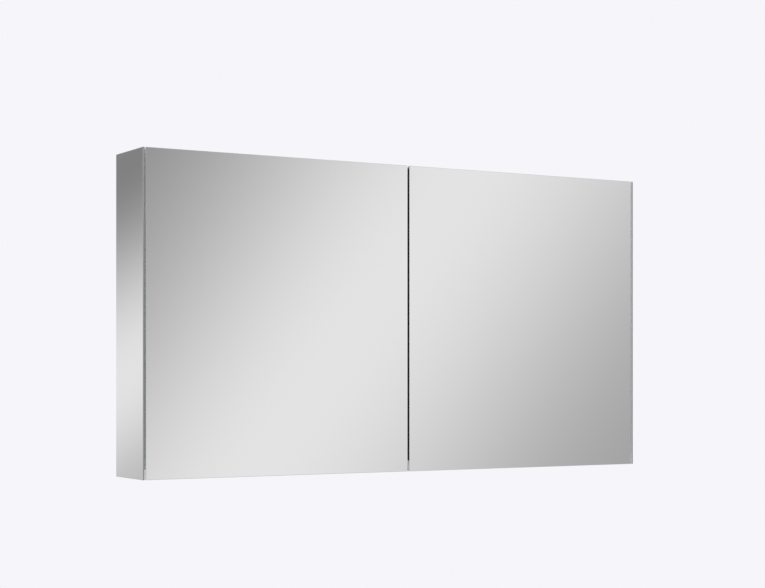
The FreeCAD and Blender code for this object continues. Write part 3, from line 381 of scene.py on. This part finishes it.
def pin_profile():
    """A ringed shank with a tapered tip, then a head with one ring and a rounded end."""
    profile = [(-PIN_IN, 0.7 * PIN_SHANK), (-0.93 * PIN_IN, 0.92 * PIN_SHANK), (-0.86 * PIN_IN, PIN_SHANK)]
    for ring in range(SHANK_NOTCHES):
        start = SHANK_NOTCH_PITCH * ring - SHANK_NOTCH_START
        profile += notch(start, SHANK_NOTCH_WIDE, PIN_SHANK, SHANK_NOTCH_DEEP)
    profile += [(0.0, PIN_SHANK), (0.0, 0.93 * PIN_HEAD), (PIN_BEVEL, PIN_HEAD)]
    profile += notch(HEAD_NOTCH_START, HEAD_NOTCH_WIDE, PIN_HEAD, HEAD_NOTCH_DEEP)
    for step in range(ROUND_STEPS + 1):
        angle = math.radians(90 * step / ROUND_STEPS)
        profile.append((PIN_OUT - PIN_ROUNDING * (1 - math.sin(angle)),
                        PIN_HEAD - PIN_ROUNDING * (1 - math.cos(angle))))
    return profile


def shelf_pins(side, materials):
    """The eight pins under one side's glass shelves, each with its shank in the nearer board."""
    node = f"{side}_shelf_pins"
    low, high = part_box(node)
    places = []
    for face, inward in ((low[0] + PIN_IN, 1), (high[0] - PIN_IN, -1)):
        for back in (low[1] + PIN_HEAD, high[1] - PIN_HEAD):
            for level in (low[2] + PIN_HEAD, high[2] - PIN_HEAD):
                places.append(((face, back, level), (inward, 0, 0)))
    piece = turned(f"{side}_turned_pins", pin_profile(), places)
    finish_piece(piece, "cabinet", node, "nickel", materials)


def door_bumpers(side, materials):
    """The four silicone domes on the back of a door."""
    node = f"{side}_door_bumpers"
    low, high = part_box(node)
    rise = high[1] - low[1] - BUMPER_SKIRT
    profile = [(0.0, BUMPER_RADIUS)]  # a short upright skirt, then a dome with a small flat top
    for step in range(DOME_STEPS):
        angle = math.radians(90 * step / DOME_STEPS)
        profile.append((BUMPER_SKIRT + rise * math.sin(angle), BUMPER_RADIUS * math.cos(angle)))
    profile.append((BUMPER_SKIRT + rise, 0.1 * BUMPER_RADIUS))
    places = []
    for across in (low[0] + BUMPER_RADIUS, high[0] - BUMPER_RADIUS):
        for level in (low[2] + BUMPER_RADIUS, high[2] - BUMPER_RADIUS):
            places.append(((across, low[1], level), (0, 1, 0)))
    piece = turned(f"{side}_bumper_domes", profile, places)
    finish_piece(piece, f"{side}_door", node, "bumper", materials)


def turned_pieces(materials):
    """All pieces that stand for plainer CAD nodes."""
    for side in ("left", "right"):
        shelf_pins(side, materials)
        door_bumpers(side, materials)


# ---------------------------------------------------------------- studio

# The studio is a soft bright dome. In front its light runs in broad slanted bands, and behind it
# changes with height, so that the mirrors show a soft sweep from grey to white.
BAND_MIDDLE = math.radians(30.5)  # heading of the brightest band, from -Y towards +X
BAND_ACROSS = 9.03
BAND_DOWN = -6.15
BAND_START = 2.05
BAND_REACH = 13.0
FRONT_BANDS = ((-13, 0.6), (-9, 0.92), (-7.2, 0.38), (-5.8, 0.92), (-4.2, 0.36), (-2.4, 0.5),
               (-0.8, 0.24), (0.0, 0.285), (0.8, 0.615), (1.6, 0.925), (2.4, 0.755), (3.2, 0.455),
               (4.0, 0.35), (5.4, 0.45), (7, 0.86), (9, 0.44), (11, 0.9), (13, 0.5))
BACK_MIDDLE = math.radians(21.9)  # heading behind where the bands lie at their own heights
BACK_SLANT = 0.67
BACK_BANDS = ((-1.0, 0.4), (-0.8, 0.9), (-0.55, 0.42), (-0.3, 0.5), (-0.106, 0.42), (-0.056, 0.56),
              (-0.016, 0.86), (0.024, 0.82), (0.064, 0.50), (0.1, 0.25), (0.135, 0.21), (0.3, 0.45),
              (0.5, 0.88), (0.7, 0.42), (1.0, 0.9))


def spread(stops, low, high):
    """Stops of a ramp as shares of the range low to high."""
    return [((place - low) / (high - low), grey) for place, grey in stops]


def studio_dome():
    """The camera sees plain pale lavender; everything else sees the banded dome."""
    world = bpy.data.worlds.new("studio")
    bpy.context.scene.world = world
    world.use_nodes = True
    nodes = Nodes(world.node_tree)
    heading = nodes.add("ShaderNodeTexCoord").outputs["Generated"]
    across = nodes.dot(heading, (math.cos(BAND_MIDDLE), math.sin(BAND_MIDDLE), 0))
    height = nodes.dot(heading, (0, 0, 1))
    aside = nodes.dot(nodes.add("ShaderNodeVectorMath", {0: heading}, operation="ABSOLUTE").outputs[0],
                      (math.cos(BACK_MIDDLE), -math.sin(BACK_MIDDLE), 0))
    leaning = nodes.math("SUBTRACT", height, nodes.math("MULTIPLY", aside, BACK_SLANT))
    slanted = nodes.math("ADD", nodes.math("MULTIPLY", across, BAND_ACROSS),
                         nodes.math("MULTIPLY", height, BAND_DOWN))
    place = nodes.remap(slanted, -BAND_REACH - BAND_START, BAND_REACH - BAND_START)
    front = nodes.ramp(place, spread(FRONT_BANDS, -BAND_REACH, BAND_REACH))
    back = nodes.ramp(nodes.remap(leaning, -1, 1), spread(BACK_BANDS, -1, 1))
    behind = nodes.remap(nodes.dot(heading, (0, 1, 0)), -0.25, 0.25, kind="SMOOTHSTEP")
    dome = nodes.mix_colour(behind, front, back)
    seen = nodes.add("ShaderNodeLightPath").outputs["Is Camera Ray"]
    colour = nodes.mix_colour(seen, dome, PALE)
    background = nodes.add("ShaderNodeBackground", {"Color": colour, "Strength": 1.0})
    nodes.add("ShaderNodeOutputWorld", {"Surface": background.outputs[0]})


def floor():
    """A plain pale floor, far below, as bright as the backdrop."""
    cabinet_foot = CAD_BOX[0][2]
    bpy.ops.mesh.primitive_circle_add(vertices=128, radius=FLOOR_RADIUS, fill_type="NGON",
                                      location=(0, 0, cabinet_foot - FLOOR_DROP))
    disc = bpy.context.object
    disc.name = "floor"
    material = bpy.data.materials.new("floor")
    material.use_nodes = True
    nodes = Nodes(material.node_tree)
    light = nodes.add("ShaderNodeEmission", {"Color": with_alpha(PALE), "Strength": 1.0})
    nodes.add("ShaderNodeOutputMaterial", {"Surface": light.outputs[0]})
    disc.data.materials.append(material)
    disc.visible_glossy = False  # the mirrors show the soft dome, without the floor's rim


def soft_light(name, spot, target, size, power):
    """A large square lamp that lights the pieces but doesn't show in the mirrors."""
    data = bpy.data.lights.new(name, "AREA")
    data.size = size
    data.energy = power
    lamp = bpy.data.objects.new(name, data)
    lamp.location = spot
    lamp.rotation_euler = (Vector(target) - Vector(spot)).to_track_quat("-Z", "Y").to_euler()
    lamp.visible_glossy = False
    bpy.context.scene.collection.objects.link(lamp)


def camera():
    data = bpy.data.cameras.new("camera")
    data.sensor_width = 36.0
    data.lens = CAMERA_LENS
    data.shift_y = CAMERA_SHIFT
    data.clip_end = 100.0
    thing = bpy.data.objects.new("camera", data)
    thing.location = CAMERA_SPOT
    thing.rotation_euler = (math.radians(90), 0, CAMERA_YAW)
    bpy.context.scene.collection.objects.link(thing)
    bpy.context.scene.camera = thing


def studio():
    studio_dome()
    floor()
    camera()
    soft_light("key_light", (-1.6, -3.0, 1.8), (0, 0, -0.25), 1.8, 48.0)
    soft_light("fill_light", (2.3, -2.2, 0.4), (0, 0, -0.25), 2.2, 40.0)
    bpy.context.scene.view_settings.view_transform = "Standard"
    bpy.context.scene.view_settings.look = "None"


turned_pieces(dress_nodes())
studio()
